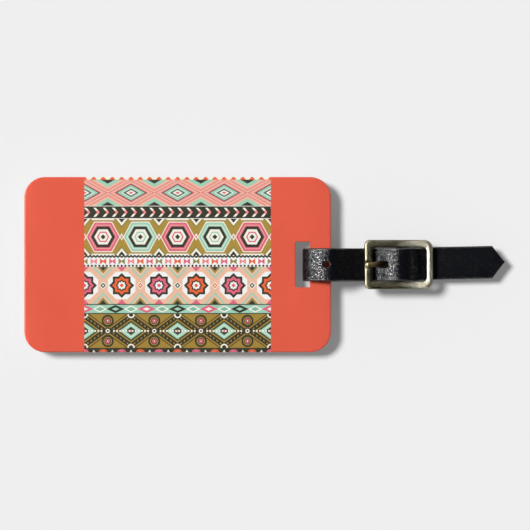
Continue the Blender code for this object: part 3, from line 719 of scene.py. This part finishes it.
def spline(points, spacing):
    """A centripetal Catmull-Rom curve through the points, resampled to an even spacing."""
    pts = [Vector(p) for p in points]
    pts = [pts[0] * 2 - pts[1]] + pts + [pts[-1] * 2 - pts[-2]]
    fine = []
    for p0, p1, p2, p3 in zip(pts, pts[1:], pts[2:], pts[3:]):
        t0 = 0.0
        t1 = t0 + (p1 - p0).length ** 0.5
        t2 = t1 + (p2 - p1).length ** 0.5
        t3 = t2 + (p3 - p2).length ** 0.5
        for k in range(24):
            t = t1 + (t2 - t1) * k / 24
            a1 = p0 * ((t1 - t) / (t1 - t0)) + p1 * ((t - t0) / (t1 - t0))
            a2 = p1 * ((t2 - t) / (t2 - t1)) + p2 * ((t - t1) / (t2 - t1))
            a3 = p2 * ((t3 - t) / (t3 - t2)) + p3 * ((t - t2) / (t3 - t2))
            b1 = a1 * ((t2 - t) / (t2 - t0)) + a2 * ((t - t0) / (t2 - t0))
            b2 = a2 * ((t3 - t) / (t3 - t1)) + a3 * ((t - t1) / (t3 - t1))
            fine.append(b1 * ((t2 - t) / (t2 - t1)) + b2 * ((t - t1) / (t2 - t1)))
    fine.append(pts[-2])
    total = [0.0]
    for a, b in zip(fine, fine[1:]):
        total.append(total[-1] + (b - a).length)
    count = max(2, round(total[-1] / spacing))
    out, k = [], 0
    for i in range(count + 1):
        s = total[-1] * i / count
        while k < len(total) - 2 and total[k + 1] < s:
            k += 1
        f = (s - total[k]) / max(total[k + 1] - total[k], 1e-9)
        out.append(fine[k].lerp(fine[k + 1], min(max(f, 0), 1)))
    return out, total[-1] / count


def strap_points():
    fold = [(48.95, -0.85), (51.0, -0.85), (53.6, -0.83), (56.0, -0.62), (58.5, 0.25), (60.6, 1.85)]
    wrap = arc(BAR_X, BAR_Z, WRAP_R, 128, -68, 9)
    under = [(62.4, -0.2), (60.0, -1.35), (57.2, -2.15), (54.0, -2.3), (50.5, -2.3), (47.0, -2.33), (44.2, -2.55)]
    loop = arc(RIB_X, RIB_Z, LOOP_R, -88, -190, 6)
    over = [(37.25, 3.4), (37.95, 4.5), (39.1, 5.4), (40.45, 6.08), (41.9, 6.62), (43.2, 6.93), (44.55, 6.98), (46.0, 6.3), (47.4, 5.07), (49.05, 3.73), (50.9, 2.5), (52.9, 1.58), (55.0, 1.27),
            (57.0, 2.15), (59.0, 3.5), (60.9, 4.85), (62.7, 5.82), (64.5, 6.16), (66.5, 5.7), (68.6, 4.0), (70.9, 1.95), (72.9, 1.17),
            (74.92, FLEX_Z), (FLEX_X, FLEX_Z)]
    tail = [(79.5, FLEX_Z), (84.0, FLEX_Z + 0.02), (89.0, FLEX_Z + 0.02), (TIP_X, FLEX_Z - 0.03)]
    return fold + wrap + under + loop + over + tail


def build_strap():
    step = 0.165
    line, step = spline(strap_points(), step)
    n = len(line)
    pos = np.array([(p.x, p.y) for p in line])
    d = np.gradient(pos, axis=0)
    d /= np.linalg.norm(d, axis=1)[:, None]
    nor = np.stack([-d[:, 1], d[:, 0]], 1)
    s = np.arange(n) * step
    # where the upper layer starts: past the top of the loop round the rib
    top_i = int(np.argmin(np.abs(pos[:, 0] - RIB_X) + 100 * (pos[:, 1] < 5)))
    hole_i = int(np.argmin(np.abs(pos[:, 0] - HOLE_X) + 100 * (np.arange(n) < top_i)))
    flex_i = int(np.argmin(np.abs(pos[:, 0] - FLEX_X)))
    bar_i = int(np.argmin(np.hypot(pos[:, 0] - (BAR_X + WRAP_R), pos[:, 1] - BAR_Z)))

    def half_width(i):
        left = s[-1] - s[i]
        w = STRAP_HALF_W
        if left < 3.6:
            w = 0.5 + (STRAP_HALF_W - 0.5) * (left - 0.35) / 3.25 if left > 0.35 else 0.5 * max(left / 0.35, 0.06) ** 0.5
        if i < 6:  # rounded corners at the fold-back end
            w = STRAP_HALF_W - 0.9 + 0.9 * math.sin(math.pi / 2 * i / 6)
        return w

    def thickness(i):
        f = min(max((s[i] - 6.3) / 6.0, 0.0), 1.0)
        return SKIVED_T + (STRAP_T - SKIVED_T) * f

    def drift(i):
        if i <= bar_i:
            return 0.0
        if i <= top_i:  # the under layer runs a hair lower than the upper one
            return -0.2 * math.sin(math.pi * (i - bar_i) / (top_i - bar_i)) ** 2
        if i <= flex_i:
            f = min(max((pos[i, 0] - 69.0) / (FLEX_X - 69.0), 0.0), 1.0)
            return 0.4 * f * f * (3 - 2 * f)
        return 0.4 + math.tan(math.radians(1.1)) * (pos[i, 0] - FLEX_X)

    M = 56  # columns across the face
    E = 7  # points round each edge
    R = 0.42  # edge radius
    bm = bmesh.new()
    uv_rows = []
    grid = []
    kinds = None
    for i in range(n):
        w, t, y0 = half_width(i), thickness(i), drift(i)
        r = min(R, t / 2 * 0.9, w * 0.6)
        pts, uvs, kind = [], [], []
        flat = w - r
        for k in range(M + 1):
            y = -flat + 2 * flat * k / M
            pts.append((y, t / 2)); uvs.append(y); kind.append(0)
        for k in range(1, E + 1):
            a = math.pi / 2 - math.pi * k / (E + 1)
            z = (t / 2 - r) * (1 if a > 0 else -1) if abs(a) > 1e-6 else 0
            pts.append((flat + r * math.cos(a), z + r * math.sin(a))); uvs.append(flat + r * (math.pi / 2 - a)); kind.append(1)
        for k in range(M + 1):
            y = flat - 2 * flat * k / M
            pts.append((y, -t / 2)); uvs.append(y + 20); kind.append(2)
        for k in range(1, E + 1):
            a = -math.pi / 2 - math.pi * k / (E + 1)
            sa = math.sin(a)
            z = (t / 2 - r) * (1 if sa > 0 else -1) if abs(sa) > 1e-6 else 0
            pts.append((-flat + r * math.cos(a), z + r * sa)); uvs.append(-flat - r * (a + 3 * math.pi / 2)); kind.append(1)
        grid.append((pts, y0))
        uv_rows.append(uvs)
        kinds = kind
    K = len(kinds)

    def grain(u, v):
        """Pebble height at a point of the strap's length and width, about -1 to 1."""
        p = Vector((u * 1.25, v * 1.25, 0.0))
        warp = noise.noise_vector(p * 0.8) * 0.55
        dists, _ = noise.voronoi((p + warp) * 1.15)
        a = min(max((dists[1] - dists[0]) * 1.9, 0.0), 1.0)
        a = a * a * (3 - 2 * a)
        b = noise.noise(p * 3.2)
        return 0.72 * (a - 0.6) + 0.16 * b

    prong_i = int(np.argmin(np.abs(pos[:, 0] - 60.45) + 100 * (np.arange(n) < top_i)))
    LEAN = 0.46  # mm along the strap, back on the grain side and on by as much below

    def at(f):
        i0 = min(max(int(math.floor(f)), 0), n - 2)
        t = f - i0
        return pos[i0] * (1 - t) + pos[i0 + 1] * t, nor[i0] * (1 - t) + nor[i0 + 1] * t

    def lean(f, y, side):
        """How far a point of a face is drawn along the strap round the prong's hole, in stations."""
        a = min(1.0, max(0.0, (3.6 - abs(f - prong_i) * step) / 2.4))
        b = min(1.0, max(0.0, (3.4 - abs(y)) / 2.2))
        a, b = a * a * (3 - 2 * a), b * b * (3 - 2 * b)
        return -side * LEAN / step * a * b

    verts = []
    for i in range(n):
        pts, y0 = grid[i]
        # slow unevenness: the leather is never a perfect extrusion
        wav = 0.05 * noise.noise(Vector((s[i] * 0.16, 3.1, 0.0)))
        row = []
        for k, (y, h) in enumerate(pts):
            u, v = s[i], uv_rows[i][k]
            edge = min(1.0, max(0.0, (STRAP_HALF_W - abs(y)) / 0.7))
            amp = 0.004
            if kinds[k] == 0:
                h2 = h + amp * grain(u, v) * (0.35 + 0.65 * edge)
                # face crowns slightly and turns down near the edges
                h2 -= 0.05 * (abs(y) / STRAP_HALF_W) ** 4
                y2 = y
            elif kinds[k] == 2:
                h2 = h - 0.012 * noise.noise(Vector((u * 3.0, v * 3.0, 7.0)))
                y2 = y
            else:
                bumpy = 0.03 * noise.noise(Vector((u * 1.3, v * 1.1, 4.0)))
                y2 = y + math.copysign(bumpy, y)
                h2 = h
            y2 += wav
            if kinds[k] != 1 and abs(i - prong_i) * step < 3.7:
                p_, n_ = at(i + lean(i, y, 1 if kinds[k] == 0 else -1))
                c = p_ + n_ * h2
            else:
                c = pos[i] + nor[i] * h2
            row.append(bm.verts.new((c[0], y2 + y0, c[1])))
        verts.append(row)

    uv_layer = bm.loops.layers.uv.new("StrapMM")

    def face(vs, us, mat):
        f = bm.faces.new(vs)
        f.material_index = mat
        for loop, q in zip(f.loops, us):
            loop[uv_layer].uv = q
        return f

    # holes: (station, length half-size, width half-size) cut through both faces of one layer
    rivet_x = 51.0
    fold_i = int(np.argmin(np.abs(pos[: bar_i // 2, 0] - rivet_x)))
    loop_start = int(np.argmin(np.abs(pos[:, 0] - rivet_x) + 100 * ((np.arange(n) < bar_i) | (np.arange(n) > top_i))))
    holes = [
        (hole_i, HOLE_R, HOLE_R, 2.0),
        (prong_i, 1.45, 1.0, 3.0),
        (bar_i, 6.3, 1.08, 6.0),
        (fold_i, 0.9, 0.9, 2.0),
        (loop_start, 0.9, 0.9, 2.0),
    ]

    def level(i, y, hole):
        ci, a, b, p = hole
        return (abs((i - ci) * step) / a) ** p + (abs(y) / b) ** p

    # pull the grid's crossings onto each hole's rim
    cut_cells = set()
    for hole in holes:
        ci, a, b, p = hole
        lo_i, hi_i = ci - int(a / step) - 3, ci + int(a / step) + 4
        for i in range(lo_i, hi_i):
            for k in range(M):
                y = (grid[i][0][k][0] + grid[i][0][k + 1][0]) / 2
                if level(i + 0.5, y, hole) < 1.0:
                    cut_cells.add((i, k))
        rim = set()
        for i, k in cut_cells:
            if not lo_i <= i < hi_i:
                continue
            for (di, dk), pair in (((-1, 0), ((i, k), (i, k + 1))), ((1, 0), ((i + 1, k), (i + 1, k + 1))),
                                   ((0, -1), ((i, k), (i + 1, k))), ((0, 1), ((i, k + 1), (i + 1, k + 1)))):
                if (i + di, k + dk) not in cut_cells:
                    rim.update(pair)
        for i, k in rim:
            y = grid[i][0][k][0]
            f = level(i, y, hole)
            scale = f ** (-1 / p) if f > 1e-6 else 1.0
            fi = ci + (i - ci) * scale
            fy = y * scale
            thick = thickness(i)
            for kk, h, side in ((k, thick / 2 - 0.03, 1), (2 * M + 1 + E - k, -thick / 2 + 0.02, -1)):
                centre, nn = at(fi + (lean(fi, fy, side) if ci == prong_i else 0.0))
                c = centre + nn * h
                verts[i][kk].co = Vector((c[0], fy + grid[i][1], c[1]))

    def low_k(k):
        """The column on the under face that lies below column k of the upper face."""
        return 2 * M + 1 + E - k

    for i in range(n - 1):
        for k in range(K):
            j = (k + 1) % K
            if kinds[k] == 0 and kinds[j] == 0 and (i, k) in cut_cells:
                continue
            if kinds[k] == 2 and kinds[j] == 2 and (i, low_k(j)) in cut_cells:
                continue
            mat = 0 if kinds[k] == 0 and kinds[j] == 0 else (2 if kinds[k] == 2 and kinds[j] == 2 else 1)
            uk, uj = uv_rows[i][k], uv_rows[i][j]
            if j == 0:
                uj = uk + 0.3
            elif abs(uj - uk) > 3:
                uj = uk + 0.3
            face((verts[i][k], verts[i][j], verts[i + 1][j], verts[i + 1][k]),
                 ((s[i], uk), (s[i], uj), (s[i + 1], uj), (s[i + 1], uk)), mat)
    # walls of the holes
    for i, k in cut_cells:
        for (di, dk), (pa, pb) in (((-1, 0), ((i, k), (i, k + 1))), ((1, 0), ((i + 1, k + 1), (i + 1, k))),
                                   ((0, -1), ((i + 1, k), (i, k))), ((0, 1), ((i, k + 1), (i + 1, k + 1)))):
            if (i + di, k + dk) in cut_cells:
                continue
            a1, b1 = verts[pa[0]][pa[1]], verts[pb[0]][pb[1]]
            a2, b2 = verts[pa[0]][low_k(pa[1])], verts[pb[0]][low_k(pb[1])]
            face((a1, b1, b2, a2), ((s[pa[0]], 40), (s[pb[0]], 40), (s[pb[0]], 41), (s[pa[0]], 41)), 1)
    # ends
    for row, i in ((verts[0], 0), (verts[-1], n - 1)):
        for k in range(M):
            q = (row[k], row[k + 1], row[low_k(k + 1)], row[low_k(k)])
            face(q, ((s[i], 60 + k * 0.16), (s[i], 60 + k * 0.16), (s[i] + 1.4, 60 + k * 0.16), (s[i] + 1.4, 60 + k * 0.16)), 1)
        right = [row[M + j] for j in range(0, E + 2)]
        left = [row[(2 * M + 1 + E + j) % K] for j in range(0, E + 2)]
        for fan in (right, left):
            face(tuple(fan), tuple((s[i] + 0.01 * q, 60.0) for q in range(len(fan))), 1)
    bmesh.ops.recalc_face_normals(bm, faces=bm.faces)
    ob = add_mesh("strap_leather", bm, [leather, edge_paint, lining], None)
    return ob


def lining_material():
    """The strap's under face: finished flat, finer and duller than the grain side."""
    N = Nodes("leather_lining")
    uv = N.new("ShaderNodeUVMap")
    uv.uv_map = "StrapMM"
    p = uv.outputs[0]
    weave = N.noise(N.scaled(p, (5.0, 11.0, 1.0)), 1.0, 3.0)
    fibre = N.noise(p, 22.0, 3.0, 0.65)
    col = N.mix(N.ramp(weave, 0.3, 0.7), (0.011, 0.011, 0.0115), (0.02, 0.019, 0.0185))
    return N.set(color=col, rough=N.ramp(fibre, 0.3, 0.7, 0.55, 0.75), normal=N.bump(N.m("ADD", weave, fibre), 0.00005, 0.5), spec=0.4)


leather = leather_material("leather_black_pebbled")
edge_paint = edge_paint_material()
lining = lining_material()
strap = build_strap()
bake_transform(strap)
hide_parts("strap_band", "strap_tail")


# --------------------------------------------------------------------------- the buckle
def build_frame(mat):
    """A cast ring of four bars: one closed sweep whose section changes with the side it is on."""
    x0, x1, hy = BUCKLE_LO[0], BUCKLE_HI[0], BUCKLE_HI[1]
    z0, z1 = 2.9, BUCKLE_HI[2]
    steps = 12

    def lengthen(p, q):
        return max(1, round(math.dist(p, q) / 0.4)) if math.dist(p, q) > 1.5 else 1

    outer = rounded_rect(x0, x1, -hy, hy, (2.6, 1.5, 1.5, 2.6), steps)
    inner = rounded_rect(x0 + 2.5, x1 - 2.05, -hy + 2.32, hy - 2.32, (1.25, 0.95, 0.95, 1.25), steps)
    # the same number of points on both loops, run by run
    def dense(loop, other):
        out = []
        for i, p in enumerate(loop):
            q = loop[(i + 1) % len(loop)]
            o, r = other[i], other[(i + 1) % len(other)]
            c = max(lengthen(p, q), lengthen(o, r))
            for k in range(c):
                out.append((p[0] + (q[0] - p[0]) * k / c, p[1] + (q[1] - p[1]) * k / c))
        return out

    o_loop, i_loop = dense(outer, inner), dense(inner, outer)
    bm = bmesh.new()
    S = 28
    rings = []
    for (ox, oy), (ix, iy) in zip(o_loop, i_loop):
        a, b = Vector((ox, oy)), Vector((ix, iy))
        mid, half = (a + b) / 2, (a - b) / 2
        width = half.length * 2
        ring = []
        # a rounded section, squarish on most of the ring; the far bar is rounder
        rounder = min(1.0, max(0.0, (mid.x - (x1 - 3.2)) / 1.6))
        power = 4.2 - 1.7 * rounder
        for k in range(S):
            t = 2 * math.pi * (k + 0.5) / S
            c, sn = math.cos(t), math.sin(t)
            r = (abs(c) ** power + abs(sn) ** power) ** (-1 / power)
            p = mid + half * (c * r)
            z = (z0 + z1) / 2 + (z1 - z0) / 2 * sn * r
            if sn < 0:
                # lugs under the side bars carry the centre bar
                near = max(0.0, 1 - abs(p.x - BAR_X) / 2.5)
                if abs(p.y) > hy - 2.35 and near > 0:
                    lug = min(1.0, near * 1.9)
                    lug = lug * lug * (3 - 2 * lug)
                    z -= lug * 2.25 * min(1.0, -sn * r * 1.25)
            elif p.x < x0 + 3.2:
                # a seat worn for the prong's tip
                dip = max(0.0, 1 - (abs(p.y) / 1.35) ** 2)
                z -= 0.46 * dip * dip * (3 - 2 * dip) ** 0.5
            wob = noise.noise_vector(Vector((p.x, p.y, z)) * 0.22) * 0.07 + noise.noise_vector(Vector((p.x, p.y, z)) * 0.9) * 0.018
            ring.append(bm.verts.new((p.x + wob.x, p.y + wob.y, z + wob.z * 0.6)))
        rings.append(ring)
    for q in range(len(rings)):
        a, b = rings[q], rings[(q + 1) % len(rings)]
        for k in range(S):
            j = (k + 1) % S
            bm.faces.new((a[k], a[j], b[j], b[k]))
    bmesh.ops.recalc_face_normals(bm, faces=bm.faces)
    return add_mesh("buckle_ring", bm, [mat])


def lathe_y(name, profile, mat, centre, steps=48):
    """A turned solid about an axis along Y: profile is (radius, y)."""
    bm = bmesh.new()
    loops = []
    for r, y in profile:
        if r < 1e-6:
            loops.append([bm.verts.new((centre[0], y, centre[1]))])
        else:
            loops.append([
                bm.verts.new((centre[0] + r * math.cos(2 * math.pi * k / steps), y, centre[1] + r * math.sin(2 * math.pi * k / steps)))
                for k in range(steps)
            ])
    for a, b in zip(loops, loops[1:]):
        for k in range(steps):
            j = (k + 1) % steps
            if len(a) == 1:
                bm.faces.new((a[0], b[k], b[j]))
            elif len(b) == 1:
                bm.faces.new((a[k], a[j], b[0]))
            else:
                bm.faces.new((a[k], a[j], b[j], b[k]))
    bmesh.ops.recalc_face_normals(bm, faces=bm.faces)
    return add_mesh(name, bm, [mat], 40)


def lathe_z(name, profile, mat, centre, steps=48):
    bm = bmesh.new()
    loops = []
    for r, z in profile:
        if r < 1e-6:
            loops.append([bm.verts.new((centre[0], centre[1], z))])
        else:
            loops.append([
                bm.verts.new((centre[0] + r * math.cos(2 * math.pi * k / steps), centre[1] + r * math.sin(2 * math.pi * k / steps), z))
                for k in range(steps)
            ])
    for a, b in zip(loops, loops[1:]):
        for k in range(steps):
            j = (k + 1) % steps
            if len(a) == 1:
                bm.faces.new((a[0], b[k], b[j]))
            elif len(b) == 1:
                bm.faces.new((a[k], a[j], b[0]))
            else:
                bm.faces.new((a[k], a[j], b[j], b[k]))
    bmesh.ops.recalc_face_normals(bm, faces=bm.faces)
    return add_mesh(name, bm, [mat], 40)


def build_prong(mat):
    """The shaft and its eye as one swept strip of wire: round the bar, then out to the tip."""
    eye_r = 1.52
    around = [(BAR_X + eye_r * math.cos(math.radians(a)), BAR_Z + eye_r * math.sin(math.radians(a))) for a in range(-232, 91, 17)]
    around[-1] = (BAR_X, BAR_Z + eye_r)
    path = around + [(62.6, 3.7), (61.0, 3.96), (59.2, 4.56), (57.4, 5.27), (55.9, 5.6), (54.85, 5.66), (54.5, 5.6)]
    line, step = spline(path, 0.16)
    bm = bmesh.new()
    S = 20
    rings = []
    n = len(line)
    eye_end = next(i for i, p in enumerate(line) if p.x < BAR_X - 0.3 and p.y > BAR_Z + 1.3 and i > n // 3)
    for i, p in enumerate(line):
        a, b = line[max(i - 1, 0)], line[min(i + 1, n - 1)]
        d = (b - a).normalized()
        nv = Vector((-d.y, d.x))
        f = min(1.0, max(0.0, (i - eye_end) / 14))
        wy = 0.74 + (0.79 - 0.74) * f
        wz = 0.36 + (0.5 - 0.36) * f
        left = (n - 1 - i) * step
        taper = 1.0 if left > 3.2 else 0.86 + 0.14 * left / 3.2
        tip = 1.0 if left > 0.75 else max(0.12, math.sqrt(max(0.0, 1 - ((0.75 - left) / 0.78) ** 2)))
        start = 1.0 if i > 2 else (0.6, 0.85, 0.96)[i]
        wy *= taper * tip * start
        wz *= taper * tip * start
        ring = []
        for k in range(S):
            t = 2 * math.pi * k / S
            c, sn = math.cos(t), math.sin(t)
            r = (abs(c) ** 2.8 + abs(sn) ** 2.8) ** (-1 / 2.8)
            wob = 0.012 * noise.noise(Vector((p.x * 1.4, k * 0.5, p.y * 1.4)))
            ring.append(bm.verts.new((p.x + nv.x * (wz * sn * r + wob), wy * c * r, p.y + nv.y * (wz * sn * r + wob))))
        rings.append(ring)
    for a, b in zip(rings, rings[1:]):
        for k in range(S):
            j = (k + 1) % S
            bm.faces.new((a[k], a[j], b[j], b[k]))
    bm.faces.new(rings[0])
    bm.faces.new(list(reversed(rings[-1])))
    bmesh.ops.recalc_face_normals(bm, faces=bm.faces)
    return add_mesh("prong_wire", bm, [mat], 60)


# the frame is lightened past x 62.5 (rubbed wear and a painted highlight) and given painted shade on its side-facing
# faces
brass = brass_material("brass_antique", 0.0, 0.75, rub_and_highlight_x=(62.5, 72.5))
# the prong's far end fades to painted shade past x 55.8
brass_prong = brass_material("brass_antique_rubbed", 0.5, 0.6, painted_shade_x=(55.8, 59.4))
brass_bar = brass_material("brass_antique_bar", 0.05, 0.4)
steel = dark_steel_material("rivet_dark_steel")

ring = build_frame(brass)
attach(ring, "buckle"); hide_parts("buckle_frame")
bar = lathe_y("bar_pin", [(0, -6.72), (0.7, -6.72), (0.86, -6.55), (0.9, -6.3), (0.9, 6.3), (0.86, 6.55), (0.7, 6.72), (0, 6.72)], brass_bar, (BAR_X, BAR_Z))
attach(bar, "buckle"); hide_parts("buckle_bar")
prong = build_prong(brass_prong)
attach(prong, "prong"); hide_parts("buckle_prong")

RX = 51.0
head = lathe_z("rivet_head", [(0, -3.7), (0.9, -3.69), (1.45, -3.64), (1.78, -3.52), (1.88, -3.4), (1.82, -3.3), (1.7, -3.27), (0.75, -3.25), (0.74, 0.02), (0, 0.04)], steel, (RX, 0))
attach(head, "strap"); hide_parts("rivet_post")
cap = lathe_z("rivet_dome", [(0.86, -0.13), (1.78, -0.13), (1.88, -0.02), (1.82, 0.12), (1.5, 0.28), (1.0, 0.37), (0, 0.41), ], steel, (RX, 0))
bm = bmesh.new(); bm.from_mesh(cap.data)
rim = [e for e in bm.edges if e.is_boundary]
up = bmesh.ops.extrude_edge_only(bm, edges=rim)
bmesh.ops.translate(bm, verts=[g for g in up["geom"] if isinstance(g, bmesh.types.BMVert)], vec=(0, 0, 0.25 * MM))
bmesh.ops.contextual_create(bm, geom=[e for e in bm.edges if e.is_boundary])
bmesh.ops.recalc_face_normals(bm, faces=bm.faces)
bm.to_mesh(cap.data); bm.free()
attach(cap, "strap"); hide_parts("rivet_cap")


# --------------------------------------------------------------------------- stage, light and camera
FLOOR_Z = -3.72
bm = bmesh.new()
bmesh.ops.create_grid(bm, x_segments=8, y_segments=8, size=2600)
floor = add_mesh("floor", bm, [floor_material()])
floor.location = (0.025, 0, FLOOR_Z * MM)


def floor_probe(x, z, body=None):
    """A point just outside the object. The floor lies at the lowest of these, so a strap that swings down stays above it."""
    e = bpy.data.objects.new("floor_probe", None)
    e.empty_display_size = 0.002
    e.location = (x * MM, 0, z * MM)
    bpy.context.scene.collection.objects.link(e)
    if body:
        e.parent = bpy.data.objects["body:" + body]
    return e


probes = [floor_probe(0.0, FLOOR_Z)]
probes += [floor_probe(x, z, "strap") for x, z in ((49.0, -3.7), (53.0, -3.7), (62.0, -2.9), (66.8, -0.6), (68.0, 7.2), (75.6, 0.1), (75.6, 2.1))]
probes += [floor_probe(x, z, "buckle") for x, z in ((74.4, 2.6), (74.4, 5.4))]
probes += [floor_probe(x, z, "tail") for x, z in ((85.0, 0.1), (95.3, 0.1), (95.3, 2.1))]
lowest = floor.driver_add("location", 2).driver
lowest.type = "MIN"
for e in probes:
    var = lowest.variables.new()
    var.type = "TRANSFORMS"
    var.targets[0].id = e
    var.targets[0].transform_type = "LOC_Z"
    var.targets[0].transform_space = "WORLD_SPACE"

scene = bpy.context.scene
scene.view_settings.view_transform = "Standard"
scene.view_settings.look = "None"

world = bpy.data.worlds.new("studio")
scene.world = world
world.use_nodes = True
world.cycles.sampling_method = "NONE"  # the light below depends on the kind of ray, so it isn't sampled ahead
W = Nodes.__new__(Nodes)
W.nt, W.count = world.node_tree, 0
W.nt.nodes.clear()
out = W.new("ShaderNodeOutputWorld")
path = W.new("ShaderNodeLightPath")
sky = W.new("ShaderNodeSeparateXYZ")
W.put(sky.inputs[0], W.coords("Generated"))
dx, dy, dz = sky.outputs


def softbox(direction, inner_deg, outer_deg, strength):
    d = Vector(direction).normalized()
    dot = W.m("MULTIPLY_ADD", dx, d.x, W.m("MULTIPLY_ADD", dy, d.y, W.m("MULTIPLY", dz, d.z)))
    return W.ramp(dot, math.cos(math.radians(outer_deg)), math.cos(math.radians(inner_deg)), 0.0, strength)


# soft fill for matt surfaces; boxes and flags for what the leather and the metal mirror
fill = W.ramp(dz, 0.2, 0.98, 0.27, 0.13)
mirror = W.ramp(dz, 0.0, 0.5, 0.22, 0.008)
mirror = W.m("ADD", mirror, softbox((-0.655, 0.06, 0.753), 12, 20, 29.0))
mirror = W.m("ADD", mirror, softbox((-0.883, 0.05, 0.47), 4, 15, 2.2))
mirror = W.m("ADD", mirror, softbox((-0.98, 0.0, 0.12), 6, 14, 1.2))
mirror = W.m("ADD", mirror, softbox((-0.40, 0.60, 0.69), 14, 22, 4.0))
mirror = W.m("ADD", mirror, softbox((0.1, 0.95, 0.3), 8, 20, 1.0))
mirror = W.m("ADD", mirror, softbox((0.9, -0.4, 0.15), 4, 12, 0.35))
glossy = path.outputs["Is Glossy Ray"]
level = W.m("ADD", W.m("MULTIPLY", mirror, glossy), W.m("MULTIPLY", fill, W.m("SUBTRACT", 1.0, glossy)))
seen = path.outputs["Is Camera Ray"]
level = W.m("ADD", W.m("MULTIPLY", level, W.m("SUBTRACT", 1.0, seen)), W.m("MULTIPLY", seen, 1.08))
bg = W.new("ShaderNodeBackground")
W.put(bg.inputs[1], level)
W.put(out.inputs[0], bg.outputs[0])

key = bpy.data.lights.new("key", "SUN")
key.energy = 2.85
key.angle = math.radians(15)
key_ob = bpy.data.objects.new("key", key)
scene.collection.objects.link(key_ob)
key_ob.visible_glossy = False  # the boxes above are what shows in gloss
key_ob.rotation_mode = "QUATERNION"
key_ob.rotation_quaternion = Vector((0.53, -0.27, -1.0)).to_track_quat("-Z", "Y")

cam = bpy.data.cameras.new("camera")
cam_ob = bpy.data.objects.new("camera", cam)
scene.collection.objects.link(cam_ob)
DIST = 900.0
WIDE = 153.6
cam.sensor_width = 36.0
cam.lens = 36.0 * (DIST - Z_TOP) / WIDE
cam.clip_start, cam.clip_end = 0.05, 10
cam_ob.location = (25.33 * MM, -0.116 * MM, DIST * MM)
cam_ob.rotation_euler = (0, 0, 0)
scene.camera = cam_ob
